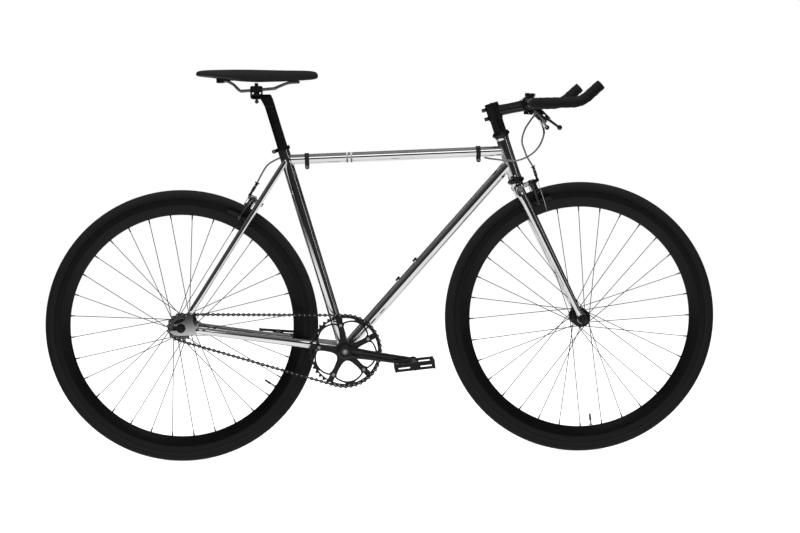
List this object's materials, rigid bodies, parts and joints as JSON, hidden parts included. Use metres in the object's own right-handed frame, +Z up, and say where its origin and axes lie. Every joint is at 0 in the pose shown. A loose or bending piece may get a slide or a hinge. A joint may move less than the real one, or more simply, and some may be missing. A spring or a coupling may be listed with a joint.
{
  "type": "single-speed bicycle",
  "caption": "Single-speed bicycle with chromed steel frame, bullhorn handlebar, deep black rims, calliper brakes, chain drive and black saddle.",
  "frame": {"origin": "on the ground, midway between the two axles, in the bicycle's middle plane", "axes": "+X forward, +Y to the bicycle's left, +Z up; the chain is on the -Y side"},
  "size_m": [1.67, 0.4274, 0.972],
  "materials": {
    "chrome": "bright mirror chrome plating",
    "black_paint": "gloss black paint on light alloy",
    "black_anodised": "satin black anodised light alloy",
    "polished_steel": "bright plated steel",
    "dark_steel": "dull dark steel",
    "chain_steel": "oiled dark chain steel",
    "tyre_rubber": "matte black tyre rubber",
    "tube_rubber": "soft black butyl rubber",
    "bar_tape": "black wound handlebar tape, slightly padded",
    "housing": "grey cable housing",
    "saddle_vinyl": "smooth black vinyl over foam",
    "black_plastic": "black moulded plastic"
  },
  "bodies": {
    "frame": {"head_tube": "chrome", "top_tube": "chrome", "down_tube": "chrome", "seat_tube": "chrome", "chainstay_right": "chrome", "chainstay_left": "chrome", "seatstay_right": "chrome", "seatstay_left": "chrome", "brake_bridge": "chrome", "headset_upper_cup": "black_anodised", "headset_lower_cup": "black_anodised", "seat_clamp": "black_anodised", "cable_clip_front": "black_plastic", "cable_clip_rear": "black_plastic", "rear_brake_cable": "housing", "bottom_bracket_cartridge": "dark_steel", "rear_axle": "polished_steel", "chain": "chain_steel"},
    "steering": {"fork": "chrome", "spacer_stack": "black_anodised", "stem": "black_anodised", "stem_faceplate": "black_anodised", "top_cap": "black_anodised", "handlebar": "polished_steel", "bar_tape_right": "bar_tape", "bar_tape_left": "bar_tape", "brake_lever_body_right": "black_paint", "brake_lever_body_left": "black_paint", "front_brake_cable": "housing", "front_axle": "polished_steel"},
    "front_wheel": {"front_tyre": "tyre_rubber", "front_rim": "black_paint", "front_inner_tube": "tube_rubber", "front_spokes_right": "dark_steel", "front_spokes_left": "dark_steel", "front_hub": "black_anodised"},
    "rear_wheel": {"rear_tyre": "tyre_rubber", "rear_rim": "black_paint", "rear_inner_tube": "tube_rubber", "rear_spokes_right": "dark_steel", "rear_spokes_left": "dark_steel", "rear_hub": "black_anodised"},
    "freewheel": {"freewheel_sprocket": "dark_steel"},
    "cranks": {"crank_spindle": "dark_steel", "crank_right": "black_anodised", "chainring": "black_anodised", "crank_left": "black_anodised"},
    "pedal_right": {"pedal_right": "black_plastic"},
    "pedal_left": {"pedal_left": "black_plastic"},
    "brake_lever_right": {"brake_lever_right": "black_paint"},
    "brake_lever_left": {"brake_lever_left": "black_paint"},
    "front_brake_arm_right": {"front_brake_arm_right": "black_paint"},
    "front_brake_arm_left": {"front_brake_arm_left": "black_paint"},
    "rear_brake_arm_left": {"rear_brake_arm_left": "black_paint"},
    "rear_brake_arm_right": {"rear_brake_arm_right": "black_paint"},
    "seatpost": {"seatpost": "black_anodised"},
    "saddle": {"saddle_clamp": "black_anodised", "saddle_rails": "dark_steel", "saddle_shell": "black_plastic", "saddle_cover": "saddle_vinyl"}
  },
  "joints": [
    {"name": "steering", "type": "hinge", "parent": "frame", "child": "steering", "pos_m": [0.30958, 0, 0.79289], "axis": [-0.2924, 0, 0.9563], "range_deg": [-60, 60], "deforming": ["rear_brake_cable"]},
    {"name": "front_wheel_spin", "type": "hinge", "parent": "steering", "child": "front_wheel", "pos_m": [0.4975, 0, 0.339], "axis": [0, 1, 0], "continuous": true},
    {"name": "rear_wheel_spin", "type": "hinge", "parent": "frame", "child": "rear_wheel", "pos_m": [-0.4975, 0, 0.339], "axis": [0, 1, 0], "continuous": true},
    {"name": "freewheel_spin", "type": "hinge", "parent": "frame", "child": "freewheel", "pos_m": [-0.4975, 0, 0.339], "axis": [0, 1, 0], "continuous": true},
    {"name": "crank_spin", "type": "hinge", "parent": "frame", "child": "cranks", "pos_m": [-0.09419, 0, 0.271], "axis": [0, 1, 0], "continuous": true, "deforming": ["chain"]},
    {"name": "pedal_right_spin", "type": "hinge", "parent": "cranks", "child": "pedal_right", "pos_m": [0.07348, -0.068, 0.24294], "axis": [0, 1, 0], "continuous": true},
    {"name": "pedal_left_spin", "type": "hinge", "parent": "cranks", "child": "pedal_left", "pos_m": [-0.26186, 0.068, 0.29906], "axis": [0, 1, 0], "continuous": true},
    {"name": "brake_lever_left_pull", "type": "hinge", "parent": "steering", "child": "brake_lever_left", "pos_m": [0.41484, 0.05, 0.83823], "axis": [0.7071, 0, 0.7071], "range_deg": [0, 20], "stiffness_Nm_per_rad": 0.5, "springref_deg": -5.73},
    {"name": "brake_lever_right_pull", "type": "hinge", "parent": "steering", "child": "brake_lever_right", "pos_m": [0.41484, -0.05, 0.83823], "axis": [-0.7071, 0, -0.7071], "range_deg": [0, 20], "stiffness_Nm_per_rad": 0.5, "springref_deg": -5.73},
    {"name": "front_brake_arm_right_squeeze", "type": "hinge", "parent": "steering", "child": "front_brake_arm_right", "pos_m": [0.34788, 0, 0.66762], "axis": [0.9563, 0, 0.2924], "range_deg": [0, 1.5]},
    {"name": "front_brake_arm_left_squeeze", "type": "hinge", "parent": "steering", "child": "front_brake_arm_left", "pos_m": [0.34788, 0, 0.66762], "axis": [-0.9563, 0, -0.2924], "range_deg": [0, 1.5]},
    {"name": "rear_brake_arm_left_squeeze", "type": "hinge", "parent": "frame", "child": "rear_brake_arm_left", "pos_m": [-0.29942, 0, 0.64081], "axis": [-0.836, 0, 0.5487], "range_deg": [0, 1.5]},
    {"name": "rear_brake_arm_right_squeeze", "type": "hinge", "parent": "frame", "child": "rear_brake_arm_right", "pos_m": [-0.29942, 0, 0.64081], "axis": [0.836, 0, -0.5487], "range_deg": [0, 1.5]},
    {"name": "seatpost_slide", "type": "slide", "parent": "frame", "child": "seatpost", "axis": [-0.2723, 0, 0.9622], "range_m": [-0.085, 0.03]},
    {"name": "saddle_tilt", "type": "hinge", "parent": "seatpost", "child": "saddle", "pos_m": [-0.29915, 0, 0.94749], "axis": [0, 1, 0], "range_deg": [-4, 4]}
  ],
  "couplings": [
    {"joint": "freewheel_spin", "follows": "crank_spin", "ratio": 2.75},
    {"joint": "front_brake_arm_right_squeeze", "follows": "brake_lever_left_pull", "ratio": 0.075},
    {"joint": "front_brake_arm_left_squeeze", "follows": "brake_lever_left_pull", "ratio": 0.075},
    {"joint": "rear_brake_arm_left_squeeze", "follows": "brake_lever_right_pull", "ratio": 0.075},
    {"joint": "rear_brake_arm_right_squeeze", "follows": "brake_lever_right_pull", "ratio": 0.075}
  ]
}
